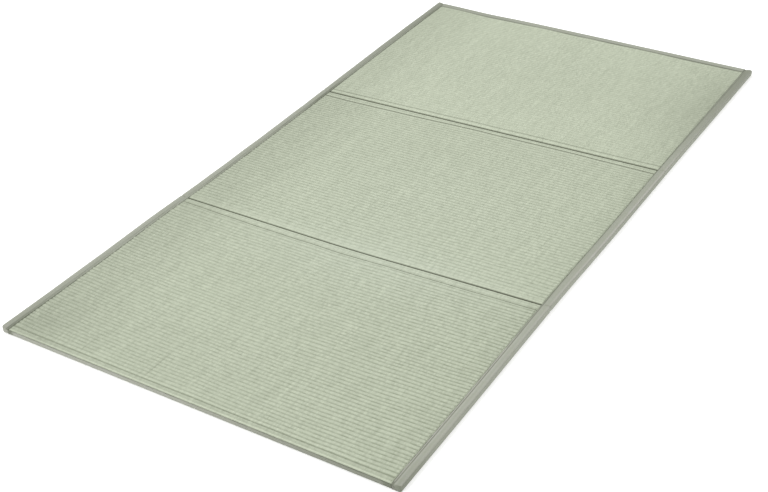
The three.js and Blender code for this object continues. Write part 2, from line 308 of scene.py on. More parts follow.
# How strong that is: (along the mat, share)
GUTTER_STRENGTH = (
    (0, 2.3), (60, 1.8), (120, 1.2), (250, 0.7), (400, 0.3), (620, 0.5), (800, 0.75), (1100, 1.0),
    (1190, 2.2), (1260, 2.2), (1340, 1.1), (1500, 0.9), (1700, 1.2), (1800, 1.7),
)

# Where the crisp line of painted shade runs beside the right tape: (along the mat, inwards)
RIGHT_LINE = ((0, 17.6), (450, 17.5), (800, 20.6), (1220, 20.8), (1500, 18.8), (1900, 17.6))

# The end strips' sections, (from the end, height): the near one stops under the rolled rush,
# and the far one laps in over the top. "flat" is a strip's flat size in metres.
STRIP_FOOT = (
    (21.0, 0.0), (12.0, 0.0), (5.0, 0.0), (2.6, 0.0), (1.5, 0.2), (0.7, 0.7), (0.2, 1.5), (0.0, 2.6),
    (0.0, 5.0), (0.0, 8.0), (0.0, 10.4),
)
STRIP_STOP = ((0.15, 11.0), (0.5, 11.35), (0.9, 11.35), (1.2, 11.0))
STRIP_LAP = (
    (0.1, 11.9), (0.5, 13.0), (1.3, 13.8), (2.5, 14.15), (4.0, 14.2), (6.0, 14.0), (8.5, 13.6),
    (11.0, 13.35), (13.5, 13.2), (15.6, 13.1), (17.0, 12.9), (17.8, 12.6), (18.5, 12.7),
    (19.3, 12.75), (19.9, 12.6), (20.05, 12.2), (19.9, 11.8), (19.5, 11.7), (15.0, 11.8),
    (12.0, 12.0), (8.0, 12.4), (6.0, 12.7), (3.2, 12.8), (2.1, 12.5), (1.45, 11.8), (1.2, 10.8),
)
STRIP_BACK = ((1.2, 8.0), (1.2, 5.0), (1.2, 2.6), (1.6, 1.6), (2.6, 1.2), (12.0, 1.2), (21.0, 1.2))
# Each strip's last number is how much it takes the paler, greyer cloth colour, its own colour
STRIPS = {
    "near": {"section": STRIP_FOOT + STRIP_STOP + STRIP_BACK, "flat": (0.034, 0.957), "rubbed": 0.7},
    "far": {"section": STRIP_FOOT + STRIP_LAP + STRIP_BACK, "flat": (0.055, 0.957), "rubbed": 0.0},
}

# Corner radius of the mat from above, by side and end
CORNER_RADIUS = {
    ("left", "near"): 8.0,
    ("left", "far"): 4.0,
    ("right", "near"): 2.5,
    ("right", "far"): 4.0,
}

# Sewn lines across the panels: how far from the tapes they stop, their height and points
SEAM_CLEAR = 3.4
SEAM_HEIGHT = 12.15
SEAM_POINTS = 160

# Sewn lines along the tapes: how far in they lie, their height, how far from the ends they
# stop, and their points
TAPE_SEAM = 18.45
TAPE_SEAM_HEIGHT = 12.3
TAPE_SEAM_CLEAR = 3.0
TAPE_SEAM_POINTS = 700

# A pattern that isn't stretched, the tint of the painted shade on the rush, and plain white
EVEN = (1.0, 1.0, 1.0)
SHADE_TINT = (0.78, 0.78, 0.77, 1.0)
WHITE = (1.0, 1.0, 1.0, 1.0)

# The camera, in metres, with its focal length and picture width in pixels of the photo
CAMERA_PLACE = (1.4973, -2.5358, 1.7962)
CAMERA_LOOK = (-0.44823, 0.70025, -0.55564)
CAMERA_RIGHT = (0.85276, 0.5214, -0.03082)
FOCAL_PIXELS = 1398.3
PHOTO_PIXELS = 768
SENSOR_WIDTH = 36

# The floor, just under the mat, in metres, and how strongly it and the sky glow
FLOOR_REACH = 12.0
FLOOR_LEVEL = -0.0003
FLOOR_CORNERS = ((-1, -1), (1, -1), (1, 1), (-1, 1))
FLOOR_GLOW = 0.32
SKY_STRENGTH = 0.64

# Soft lights that point at the mat: place and size in metres, and power in watts
LIGHTS = (
    {"name": "window_left", "place": (-6.0, 3.6, 8.0), "size": 5.5, "power": 700},
    {"name": "fill_front", "place": (-1.4, -4.4, 2.4), "size": 3.5, "power": 90},
    {"name": "fill_right", "place": (4.6, -0.6, 2.2), "size": 3.0, "power": 70},
)


# Shapes


def read_table(shares, values, at):
    """Values of a table at shares, on a smooth curve through its rows."""
    shares = np.asarray(shares, dtype=float)
    values = np.asarray(values, dtype=float)
    slopes = np.gradient(values, shares)
    at = np.clip(at, shares[0], shares[-1])
    row = np.clip(np.searchsorted(shares, at, side="right") - 1, 0, len(shares) - 2)
    span = shares[row + 1] - shares[row]
    t = (at - shares[row]) / span
    start = (1 + 2 * t) * (1 - t) ** 2 * values[row] + t * (1 - t) ** 2 * span * slopes[row]
    finish = t**2 * (3 - 2 * t) * values[row + 1] + t**2 * (t - 1) * span * slopes[row + 1]
    return start + finish


def lookup(table, at):
    """Values of a table of (place, value) rows, on straight lines between them."""
    return np.interp(at, *np.array(table).T)


def ease(low, high, at):
    """0 below low, 1 above high, and smooth between them."""
    t = np.clip((at - low) / (high - low), 0, 1)
    return t * t * (3 - 2 * t)


def bell(at, middle, half, power=2):
    """1 at the middle and nearly 0 past twice the half width; a power of 4 has a squarer top."""
    return np.exp(-(((at - middle) / half) ** power))


def swell(x, y, seed, shortest, longest):
    """Soft, repeatable unevenness between about -1 and 1, with waves of these lengths."""
    rng = np.random.default_rng(seed)
    total = np.zeros(np.broadcast(x, y).shape)
    for _ in range(WAVE_COUNT):
        turn = rng.uniform(0, math.tau)
        number = math.tau / rng.uniform(shortest, longest)
        shift = rng.uniform(0, math.tau)
        total += np.sin((x * math.cos(turn) + y * math.sin(turn)) * number + shift)
    return total / math.sqrt(WAVE_COUNT)


def uneven(name, x, y, more=0):
    """The unevenness of one row of WAVES, with more added to its seed."""
    size, seed, shortest, longest = WAVES[name]
    return size * swell(x, y, seed + more, shortest, longest)


def seam(number, share):
    """Distance of an end (0 or 3) or a fold (1 or 2) from the near end, at shares of the width."""
    if number in (0, 3):
        return np.full_like(np.asarray(share, dtype=float), LENGTH * number / 3)
    return read_table(FOLD_SHARES, FOLD_LINES[number - 1], share)


def folds_at(side):
    """Where the two folds meet a long side, along the mat."""
    return [line[0] if side == "left" else line[-1] for line in FOLD_LINES]


def side_dip(side, share):
    """How far a long side dips in, at shares of the length."""
    return read_table(DIP_SHARES, DIPS[side], share)


def side_start(side, along):
    """Where a long side lies, measured inwards from the middle of the mat, so below 0."""
    return side_dip(side, along / LENGTH) - WIDTH / 2


def panel_length(index):
    """Length of a panel along the middle of the mat."""
    return float(seam(index + 1, 0.5) - seam(index, 0.5))


def from_its_end(name, along, length):
    """Turns a place on a panel into its distance from the near or the far end, or back."""
    return length - along if name == "far" else along


def lay_panel(across, along, index):
    """Turns a place on a straight panel into x and y on the mat, between its askew folds."""
    part = along / panel_length(index)
    start = seam(index, across)
    finish = seam(index + 1, across)
    sag = PANELS[index]["sag"] * 16 * across * (1 - across) * part * (1 - part)
    y = start + (finish - start) * part - sag
    left = side_dip("left", y / LENGTH) * (1 - across)
    right = side_dip("right", y / LENGTH) * across
    return (across - 0.5) * WIDTH + left - right, y - LENGTH / 2


def grid_mesh(name, points, **marks):
    """A closed skin through points[column, row], with marks stored on its points by name."""
    columns, rows, _ = points.shape
    index = np.arange(columns * rows).reshape(columns, rows)
    after = np.roll(index, -1, axis=1)
    quads = np.stack([index[:-1], index[1:], after[1:], after[:-1]], axis=-1).reshape(-1, 4)
    ends = [index[0].tolist(), index[-1][::-1].tolist()]
    mesh = bpy.data.meshes.new(name)
    mesh.from_pydata((points.reshape(-1, 3) * MM).tolist(), [], quads.tolist() + ends)
    mesh.polygons.foreach_set("use_smooth", np.ones(len(mesh.polygons), dtype=bool))
    mesh.validate()
    for label, values in marks.items():
        kind, key = ("FLOAT_VECTOR", "vector") if values.ndim == 3 else ("FLOAT", "value")
        layer = mesh.attributes.new(label, kind, "POINT")
        layer.data.foreach_set(key, np.asarray(values, dtype=np.float32).ravel())
    return mesh


def new_piece(name, mesh):
    """A mesh as an object in the scene, at the origin."""
    piece = bpy.data.objects.new(name, mesh)
    bpy.context.scene.collection.objects.link(piece)
    return piece


def settle_nodes(piece, tree, inputs):
    """Runs a Geometry Nodes tree on a piece and keeps its result as the piece's own mesh."""
    modifier = piece.modifiers.new(tree.name, "NODES")
    modifier.node_group = tree
    sockets = {s.name: s.identifier for s in tree.interface.items_tree if s.in_out == "INPUT"}
    for name, value in inputs.items():
        modifier[sockets[name]] = value
    piece.update_tag()
    graph = bpy.context.evaluated_depsgraph_get()
    made = bpy.data.meshes.new_from_object(piece.evaluated_get(graph))
    raw = piece.data
    piece.modifiers.remove(modifier)
    made.name = piece.name
    piece.data = made
    bpy.data.meshes.remove(raw)


def end_sway(end, across, from_end):
    """How far an end's lines lie from their even place, at shares of the width."""
    start, full, held, gone = end["sways"]
    amount = ease(start, full, from_end) * (1 - ease(held, gone, from_end))
    return read_table(FOLD_SHARES, end["sway"], across) * amount


def end_rows(end):
    """Rows of a panel's end up to its ribs: (from the end, height)."""
    edge = np.array(EDGES[end["edge"]])
    if end["edge"] == "fold":
        above = edge[:, 1] > 5
        slit = edge[:, 0].min()
        edge[above, 0] = slit + (edge[above, 0] - slit) * end["groove"]
    even = np.arange(edge[-1, 0] + ROW_STEP, end["ribs_from"] - 0.4, ROW_STEP)
    beside = [furrow + step for furrow in end["furrows"] for step in FURROW_ROWS]
    clear = [e for e in even if all(abs(e - f) > FURROW_CLEAR for f in end["furrows"])]
    places = np.array(sorted(clear + beside))
    places = places[places < end["ribs_from"] - 0.3]
    height = np.full(len(places), FLAT_TOP)
    if end["edge"] == "rolled":
        height -= 0.3 * bell(places, 9.0, 3.0)
    height += (FIRST_RIB_TOP - height) * ease(end["ribs_from"] - 2, end["ribs_from"], places)
    for furrow in end["furrows"]:
        height -= FURROW_DEPTH * bell(places, furrow, 0.8)
    return np.vstack([edge, np.column_stack([places, height])])


def end_shade(end, from_end, height):
    """How dark an end is in its slit and its sewn furrows, from 0 to 1."""
    shade = np.zeros(np.broadcast(from_end, height).shape)
    if end["edge"] == "fold":
        shade += bell(from_end, 0.0, 2.1 * end["groove"], 4) * ease(3, 6, height)
    for furrow in end["furrows"]:
        shade += 0.85 * end["dark"] * bell(from_end, furrow, 1.3)
    return np.clip(shade, 0, 1)


def end_trace(end, rows):
    """How much of the ribs still shows through the flat part of an end."""
    least = TRACE_FROM[end["edge"]]
    shown = 0.75 * ease(least, least + 3, rows[:, 0]) * (rows[:, 1] > 11)
    for furrow in end["furrows"]:
        shown = shown * (1 - bell(rows[:, 0], furrow, 1.8))
    return shown


def panel_section(panel, length):
    """A panel's outline from the side: along, height, rib count, rib mask and shade of each row."""
    near = end_rows(panel["near"])
    far = end_rows(panel["far"])[::-1]
    start = panel["near"]["ribs_from"]
    ribs = panel["ribs"]
    pitch = (length - panel["far"]["ribs_from"] - start) / ribs
    rng = np.random.default_rng(ribs + int(length))
    widths = 1 + RIB_SPREAD * rng.standard_normal(ribs)
    edges = start + pitch * np.concatenate([[0], np.cumsum(widths / widths.mean())])
    count = np.append(np.arange(ribs)[:, None] + np.array(RIB_ROWS), ribs)
    rib = np.minimum(np.floor(count).astype(int), ribs - 1)
    ribs_at = edges[rib] + (count - rib) * (edges[rib + 1] - edges[rib])
    bottom = np.linspace(length - BOTTOM_INSET, BOTTOM_INSET, BOTTOM_ROWS)
    flat = np.zeros(BOTTOM_ROWS)
    along = np.concatenate([near[:, 0], ribs_at, length - far[:, 0], bottom])
    height = np.concatenate([near[:, 1], np.full(len(count), RIB_FLOOR), far[:, 1], flat])
    before = (near[:, 0] - start) / pitch
    after = ribs + (panel["far"]["ribs_from"] - far[:, 0]) / pitch
    counts = np.concatenate([before, count, after, flat - 0.5])
    traces = [end_trace(panel["near"], near), np.ones(len(count)), end_trace(panel["far"], far), flat]
    mask = np.concatenate(traces) * panel["relief"]
    shade = end_shade(panel["near"], along, height) + end_shade(panel["far"], length - along, height)
    return along, height, counts, mask, np.clip(shade, 0, 1)


def panel_columns(index):
    """Places across the width at which a panel has a column of points."""
    middle = list(np.linspace(MIDDLE_FROM, WIDTH - MIDDLE_FROM, MIDDLE_COLUMNS))
    if index == 0:
        cuts = [split["across"] for split in SPLITS]
        middle = [u for u in middle if all(abs(u - c) > SPLIT_CLEAR for c in cuts)]
        middle += [c + d * SPLIT_HALF for c in cuts for d in SPLIT_COLUMNS]
    return np.concatenate([PANEL_MARGIN, sorted(middle), WIDTH - np.array(PANEL_MARGIN[::-1])])


def split_depth(u, along):
    """How far open a split between stems is, from 0 to 1."""
    total = np.zeros(np.broadcast(u, along).shape)
    for split in SPLITS:
        run = ease(split["from"], split["from"] + 6, along)
        run = run * (1 - ease(split["to"] - 50, split["to"], along))
        total += split["open"] * run * bell(u, split["across"], SPLIT_HALF, 4)
    return np.clip(total, 0, 1)


def spread(places, u, along):
    """How strongly broad places of a table reach each point of the mat, from 0."""
    total = np.zeros(np.broadcast(u, along).shape)
    for place in places:
        half_across, half_along = place["half"]
        apart = np.hypot((u - place["across"]) / half_across, (along - place["along"]) / half_along)
        total += place["amount"] * bell(apart, 0.0, 1.0)
    return total


def far_drop(u, from_end):
    """How much lower the far end lies where it has sunk a little."""
    return FAR_DROP["drop"] * bell(u, FAR_DROP["across"], FAR_DROP["half"]) * (1 - ease(22, 70, from_end))


def tucked(height, side, on_left):
    """Keeps a panel's sides under the long tapes, and over the cloth that is turned in underneath."""
    roof = lookup(TUCK, side) + np.where(on_left, 0.0, 1.3 * ease(21.2, 21.8, side))
    roof = np.where(side > TUCK[-1][0], OPEN_ABOVE, roof)
    height = np.minimum(height, roof - LEAN * (LEAN_TOP - height))
    raised = np.maximum(height, CLOTH + GAP + LEAN * height)
    return np.where(side < FLAP + GAP, raised, height)


def clear_of_corners(panel, length, along, side, on_left):
    """Keeps a panel's bound ends inside the rounded corners of the tapes."""
    for name in ENDS:
        if panel[name]["edge"] == "fold":
            continue
        from_end = from_its_end(name, along, length)
        radius = np.where(on_left, CORNER_RADIUS["left", name], CORNER_RADIUS["right", name])
        inner = radius - CLOTH - GAP
        arc = radius - np.sqrt(np.maximum(inner**2 - np.maximum(radius - side, 0) ** 2, 0.0))
        least = np.where(side < radius, arc, CLOTH + GAP) * (side < FLAP + GAP)
        along = from_its_end(name, np.maximum(from_end, least + LEAN * from_end), length)
    return along


def panel_points(index, along, height):
    """Lays a panel's outline out across its columns, with its sway, its tuck and its unevenness."""
    panel = PANELS[index]
    at = SimpleNamespace(length=panel_length(index), u=panel_columns(index)[:, None])
    at.across = at.u / WIDTH
    at.side = np.minimum(at.u, WIDTH - at.u)
    at.on_left = at.u < WIDTH / 2
    at.even = np.broadcast_to(along, (len(at.u), len(along)))
    along = at.even + end_sway(panel["near"], at.across, at.even)
    along = along - end_sway(panel["far"], at.across, at.length - at.even)
    height = np.broadcast_to(height, along.shape)
    at.top = (height > 7) & (along > 1.4) & (along < at.length - 1.4)
    height = tucked(height, at.side, at.on_left)
    at.along = clear_of_corners(panel, at.length, along, at.side, at.on_left)
    ends = np.minimum(at.along, at.length - at.along)
    x, y = lay_panel(at.across, at.along, index)
    height = height + uneven("rush_top", x, y, index) * (ease(22, 60, at.side) * ease(2, 25, ends) * at.top)
    at.y = y + uneven("rush_lines", x, y, index) * ease(24, 45, at.side) * ease(3, 30, ends) * at.top
    at.x = np.broadcast_to(x, at.y.shape)
    if index == 0:
        height = height - 0.7 * split_depth(at.u, at.along) * at.top
    if index == len(PANELS) - 1:
        height = height - far_drop(at.u, at.length - at.along) * ease(4, 11, height)
    at.height = height
    return at


def rush_shade(index, at, shade):
    """How dark the rush is in its slits, furrows and splits, and in the gutters beside the tapes."""
    if index == 0:
        shade = np.maximum(shade, 0.85 * split_depth(at.u, at.along) * at.top)
    pinched = 0.5 * bell(at.side, 24.6, 0.7) * ease(0.0, 1.2, uneven("rush_pinch", at.x, at.y))
    gutter = np.where(at.on_left, 0.75 * (1 - ease(22, 25.5, at.side)), pinched)
    shade = np.clip(np.maximum(shade, gutter * ease(8, 10, at.height)), 0, 1)
    if index < 2:
        # Both sides of the first fold are darker towards the right
        from_fold = at.length - at.along if index == 0 else at.along
        deep = bell(from_fold, 0.0, 2.7, 4) * ease(3, 6, at.height)
        shade = np.maximum(shade, deep * ease(380, 900, at.u))
    return shade


def rush_sheen(index, at):
    """Painted highlight on the rush: beside its slits and furrows, and on the roll at the near end."""
    worn = np.zeros(at.along.shape)
    for name in ENDS:
        end = PANELS[index][name]
        distance = from_its_end(name, at.along, at.length)
        if end["edge"] == "fold":
            worn += 0.3 * bell(distance, 4.6 * end["groove"], 1.6) * ease(9, 11, at.height)
        sway = end_sway(end, at.across, from_its_end(name, at.even, at.length))
        for furrow in end["furrows"]:
            worn += 0.22 * bell(distance - furrow - sway, -4.0, 1.5)
    if PANELS[index]["near"]["edge"] == "rolled":
        worn *= ease(14, 16, at.along)
        worn += 1.15 * bell(at.along, 2.9, 1.1) * ease(12, 13, at.height)
        worn += 0.3 * bell(at.along, 19.6, 1.5)
    return worn


def rush_falloff_shade(index, at, mat_along):
    """Painted shade on the rush where the light falls off towards its long sides and in broad patches, and a
    darker band on the near roll.
    """
    dulled = 0.6 * (1 - ease(20, 260, at.u)) + 0.25 * ease(880, 985, at.u)
    if index == 0:
        dulled = dulled + 0.3 * (1 - ease(11, 16, at.along))
    return dulled + spread(DARK_PATCHES, at.u, mat_along)


def rib_ends(index, at, counts):
    """How far each rib stands up at each point, as it comes out from under the long tapes."""
    ribs = PANELS[index]["ribs"]
    rng = np.random.default_rng(RIB_END_SEED + index)
    starts = RIB_START + RIB_START_SPREAD * rng.standard_normal(ribs + 2)
    begin = starts[np.clip(np.floor(counts).astype(int), 0, ribs)] - np.where(at.on_left, 0.0, 0.9)
    inwards = at.side - begin
    standing = ease(0, 1.4, inwards) * (1 + 0.16 * bell(inwards, 1.9, 1.2))
    if index == 0:
        standing = standing * (0.88 + 0.34 * ease(420, 960, at.u))
    return standing


def panel_mesh(index):
    """A rush panel without its ribs, which the node tree raises from the stored rib count."""
    along, height, counts, mask, shade = panel_section(PANELS[index], panel_length(index))
    at = panel_points(index, along, height)
    shape = at.along.shape
    mat_along = at.along + seam(index, at.across)
    counts = np.broadcast_to(counts, shape)
    mid_along = (at.along + seam(index, 0.5)) * MM
    return grid_mesh(
        PANELS[index]["node"] + "_rush",
        np.stack([at.x, at.y, at.height], axis=-1),
        rib_count=counts,
        rib_mask=mask * rib_ends(index, at, counts),
        shade=rush_shade(index, at, np.broadcast_to(shade, shape)),
        worn=rush_sheen(index, at),
        bleached=spread(BLEACHED, at.u, mat_along),
        dulled=rush_falloff_shade(index, at, mat_along),
        rush_place=np.stack([np.broadcast_to(at.u * MM, shape), counts, mid_along], axis=-1),
    )


def section_run(section):
    """Distance round a section, in metres, at each of its points."""
    steps = np.hypot(*np.diff(np.array(section), axis=0).T)
    return np.concatenate([[0], np.cumsum(steps)]) * MM


def corner_inset(radius, inner, along):
    """How far a rounded corner keeps the side in, at places along from the end."""
    reach = np.maximum(radius - along, 0.0)
    arc = radius - np.sqrt(np.maximum(inner**2 - reach**2, 0.0))
    return np.where(along < radius, arc, radius - inner)


def tape_skin(side):
    """A long tape's stations, and its section at each of them, hollow for the panels between its ends."""
    start = np.array(TAPE_STARTS)
    even = np.linspace(TAPE_EVEN_FROM, LENGTH - TAPE_EVEN_FROM, TAPE_STATIONS)
    stations = np.concatenate([start, even, LENGTH - start[::-1]])
    outside = np.array(TAPE_OUTSIDE)
    if side == "right":
        outside[:, 1] += 0.5 * ease(15, 18, outside[:, 0]) * (outside[:, 1] > 11)
    rows = len(TAPE_INSIDE)
    shut = np.column_stack([np.full(rows, FLAP - 0.4), np.linspace(11.5, 0.15, rows)])
    hollow = np.zeros((len(stations), 1, 1), dtype=bool)
    hollow[5:-5] = True
    skin = np.where(hollow, np.vstack([outside, TAPE_INSIDE]), np.vstack([outside, shut]))
    return stations[:, None], skin[..., 0], skin[..., 1]


def ruffle_tape(side, along, u, z):
    """Adds a tape's soft unevenness, its puckers and its kinks at the folds."""
    seed = TAPE_SEEDS[side]
    middle = 0 * along
    top = ease(11, 14, z)
    z = z + uneven("tape_top", along, middle, seed) * top
    u = u + uneven("tape_slope", along, middle, seed) * ease(5, 9, u) * (1 - ease(14, 17.5, u)) * top
    u = u + uneven("tape_edge", along, middle, seed) * ease(16, 19, u) * top
    u = u + uneven("tape_wall", along, z, seed) * ease(2, 6, z) * (1 - ease(3, 9, u))
    pucker = 0.16 * np.sin(along * math.tau / 9.5 + uneven("tape_pucker", along, middle, seed))
    z = z + pucker * ease(11, 13.5, u) * (1 - ease(15, 17, u)) * top
    for fold in folds_at(side):
        kink = bell(along, fold, 3.2)
        z = z + (0.3 * bell(along, fold, 9.0) - 1.1 * kink) * top
        u = u + 0.8 * kink * (1 - ease(3, 9, u))
    return u, z


def round_tape(side, along, u, z):
    """Rounds a tape's corners from above, and the rims of its ends."""
    is_outside = np.arange(u.shape[1]) < len(TAPE_OUTSIDE)
    for end in ENDS:
        radius = CORNER_RADIUS[side, end]
        from_end = from_its_end(end, along, LENGTH)
        inner = np.maximum(corner_inset(radius, radius - CLOTH, from_end) - CLOTH, 0.0)
        inset = np.where(is_outside, corner_inset(radius, radius, from_end), inner)
        u = u + 0.99 * inset * np.clip(1 - u / radius, 0, 1)
        soft = 2.6 if radius > 5 else 1.1
        drop = soft - np.sqrt(soft**2 - np.clip(soft - from_end, 0, soft) ** 2)
        z = z - drop * ease(6, 13, z) + 0.6 * drop * (1 - ease(0, 5, z))
    return u, z


def left_tape_marks(along, z, inwards, rim):
    """How dark the left tape is: painted shade towards its gutter, darker at its near end and along the mat;
    and how much paler: a painted highlight on its rim, and a paler grey near end.
    """
    shade = np.clip(lookup(GUTTER_SHADE, inwards) * lookup(GUTTER_STRENGTH, along), 0, 1)
    shade = np.maximum(shade, 0.45 * (1 - ease(0, 14, along))) * ease(9.5, 11, z)
    darkening = lookup(TAPE_DARKENING["left"], along)
    rubbed = np.clip(np.maximum(rim, 1 - ease(6, 22, along)), 0, 1)
    return np.maximum(shade, darkening * ease(1, 3, z)), rubbed


def right_tape_marks(along, z, inwards, rim):
    """How dark the right tape is: painted shade in its crisp line, on its outer side and at its near end, and
    darker along the mat; and painted highlights on its rim, its side face and beside the line.
    """
    from_line = inwards - lookup(RIGHT_LINE, along)
    past_line = ease(0.8, 1.8, from_line)
    # A painted highlight stripe along the rim, over the middle of the mat
    worn_rim = ease(450, 900, along) * (1 - ease(1250, 1450, along)) * bell(inwards, 3.2, 1.6)
    near_part = 1 - ease(380, 700, along)
    # Painted highlight on the side face, on the cloth past the crisp line, and in a thin bright line a little
    # further out
    rubbed = np.clip(0.75 * rim + 0.3 * (1 - ease(12, 13, z)) + past_line, 0, 1)
    rubbed = rubbed + 1.4 * worn_rim + 1.2 * near_part * past_line
    rubbed = rubbed + (0.2 + 1.6 * near_part) * bell(from_line, -3.6, 1.1) * (z > 12)
    # Darker along the mat, less so at the outer edge and under the painted rim highlight
    darkening = lookup(TAPE_DARKENING["right"], along) * (0.45 + 0.55 * ease(1, 4, inwards))
    darkening = np.maximum(darkening, 0.1 * ease(500, 800, along)) * (1 - 0.8 * worn_rim)
    outer_side = lookup(OUTSIDE_SHADE, along) * (1 - ease(0.4, 1.4, inwards))
    near_face = (1 - ease(0.5, 3, along)) * (0.7 + 0.3 * (1 - ease(3, 5, inwards)))
    near_corner = (1 - ease(4, 16, along)) * ease(16, 17, inwards) * ease(9, 11, z)
    shade = np.maximum(bell(from_line, 0.0, 1.05, 4) * ease(9.5, 11, z), darkening * ease(1, 3, z))
    for more in (outer_side, near_face, near_corner):
        shade = np.maximum(shade, more)
    return shade, rubbed


def tape_mesh(side):
    """A long tape: turned under and over the edge, hollow for the panels, shut at both ends."""
    along, u, z = tape_skin(side)
    u, z = round_tape(side, along, *ruffle_tape(side, along, u, z))
    x = INWARD[side] * (side_start(side, along) + u)
    points = np.stack([x, np.broadcast_to(along - LENGTH / 2, u.shape), np.maximum(z, 0.0)], axis=-1)
    # Painted highlight along the top of the rim
    rim = 0.8 * ease(13.2, 14.6, z) * (1 - ease(4.5, 8, u))
    marks = left_tape_marks if side == "left" else right_tape_marks
    shade, rubbed = marks(along, z, u, rim)
    for fold in folds_at(side):
        shade = np.maximum(shade, 0.5 * bell(along, fold, 1.8) * ease(12, 13, z))
    run = np.append(section_run(TAPE_OUTSIDE), section_run(TAPE_INSIDE))
    place = np.stack(np.broadcast_arrays(run, along * MM, 0.0), axis=-1)
    way = -1 if side == "left" else 1
    return grid_mesh(
        "binding_" + side + "_cloth",
        points[::way],
        cloth_place=place[::way],
        shade=shade[::way],
        rubbed=rubbed[::way],
    )


def near_strip_shade(u, height):
    """How dark the near strip is: under the rolled rush, and towards its two ends."""
    shade = 0.3 * ease(10.0, 11.2, height) + 0.65 * ease(400, WIDTH, u)
    return shade + 1.0 * (1 - ease(27, 38, u)) + 0.6 * ease(955, 972, u)


def far_strip_shade(u, from_end, height):
    """How dark the far strip is: on its end face, at the left, and beside the rush at the right."""
    shade = 0.25 * (1 - ease(0.5, 2.5, from_end)) * ease(8, 12, height)
    shade = shade + 0.2 * (1 - ease(230, 310, u)) + 0.05 * ease(310, 400, u)
    return shade + 0.25 * ease(14.5, 17.0, from_end) * ease(10, 11, height) * ease(480, 620, u)


def strip_mesh(end):
    """The cloth strip against a short end, turned in underneath."""
    index = 0 if end == "near" else len(PANELS) - 1
    section = np.array(STRIPS[end]["section"])
    u = np.linspace(FLAP + GAP, WIDTH - FLAP - GAP, STRIP_COLUMNS)[:, None]
    from_end, height = np.broadcast_to(section.T[:, None], (2, len(u), len(section)))
    shade = 0.5 * ease(15.5, 17.5, from_end) * ease(10, 11, height)
    shade = shade + 0.45 * (1 - ease(0.2, 2.2, height)) * (from_end < 2)
    from_end = from_end + uneven("strip_wall", u, height, index) * ease(1.5, 4, height)
    if end == "near":
        height = height + uneven("strip_top", u, 0 * u, index) * ease(9, 11, height)
        shade = shade + near_strip_shade(u, height)
    else:
        height = height - far_drop(u, from_end) * ease(4, 11, height)
        shade = shade + far_strip_shade(u, from_end, height)
    x, y = lay_panel(u / WIDTH, from_its_end(end, from_end, panel_length(index)), index)
    points = np.stack([np.broadcast_to(x, y.shape), y, height], axis=-1)
    run = section_run(STRIPS[end]["section"])
    place = np.stack(np.broadcast_arrays(run, u * MM, 0.0), axis=-1)
    way = -1 if end == "far" else 1
    return grid_mesh(
        "binding_" + end + "_cloth",
        points[::way],
        cloth_place=place[::way],
        shade=np.clip(shade, 0, 1)[::way],
        rubbed=np.full(shade.shape, STRIPS[end]["rubbed"]),
    )


# Node trees


def add_node(tree, kind, wires=None, **settings):
    """Adds a node, with its settings, and wires or sets its inputs."""
    made = tree.nodes.new(kind)
    for name, value in settings.items():
        setattr(made, name, value)
    for key, value in (wires or {}).items():
        if isinstance(value, bpy.types.NodeSocket):
            tree.links.new(value, made.inputs[key])
        else:
            made.inputs[key].default_value = value
    return made


def maths(operation, *values, clamp=False):
    """A Math node's result, in the tree that its wired values belong to."""
    tree = next(value.id_data for value in values if isinstance(value, bpy.types.NodeSocket))
    wires = dict(enumerate(values))
    return add_node(tree, "ShaderNodeMath", wires, operation=operation, use_clamp=clamp).outputs[0]


times = partial(maths, "MULTIPLY")
times_plus = partial(maths, "MULTIPLY_ADD")


def off_middle(value):
    """Runs from -1 to 1 between each whole number and the next."""
    return times_plus(maths("FRACT", value), 2.0, -1.0)


def point(tree, **parts):
    """A vector from its X, Y and Z."""
    return add_node(tree, "ShaderNodeCombineXYZ", parts).outputs[0]


def noise_at(place, scale, detail):
    """Soft noise at a place."""
    wires = {"Vector": place, "Scale": scale, "Detail": detail}
    return add_node(place.id_data, "ShaderNodeTexNoise", wires).outputs[0]


def random_at(place, dimensions):
    """A random number for each whole place."""
    node = add_node(place.id_data, "ShaderNodeTexWhiteNoise", {"Vector": place}, noise_dimensions=dimensions)
    return node.outputs["Value"]


def remap(value, low, high, to_low=0.0, to_high=1.0):
    """A value's range from low to high, turned into another range."""
    wires = {"Value": value, "From Min": low, "From Max": high, "To Min": to_low, "To Max": to_high}
    return add_node(value.id_data, "ShaderNodeMapRange", wires).outputs[0]


def new_tree(name, kind, inputs, outputs):
    """A node group, from rows with the name, the kind and perhaps the default of each socket."""
    tree = bpy.data.node_groups.new(name, kind)
    for way, rows in (("INPUT", inputs), ("OUTPUT", outputs)):
        for label, socket_kind, *default in rows:
            socket_type = "NodeSocket" + socket_kind
            socket = tree.interface.new_socket(label, in_out=way, socket_type=socket_type)
            if default:
                socket.default_value = default[0]
    return tree, tree.nodes.new("NodeGroupInput").outputs, tree.nodes.new("NodeGroupOutput").inputs


def end_tree(tree, geometry, material, result):
    """Ends a Geometry Nodes tree with real geometry and its material."""
    whole = add_node(tree, "GeometryNodeRealizeInstances", {"Geometry": geometry})
    wires = {"Geometry": whole.outputs[0], "Material": material}
    dressed = add_node(tree, "GeometryNodeSetMaterial", wires)
    tree.links.new(dressed.outputs[0], result["Geometry"])


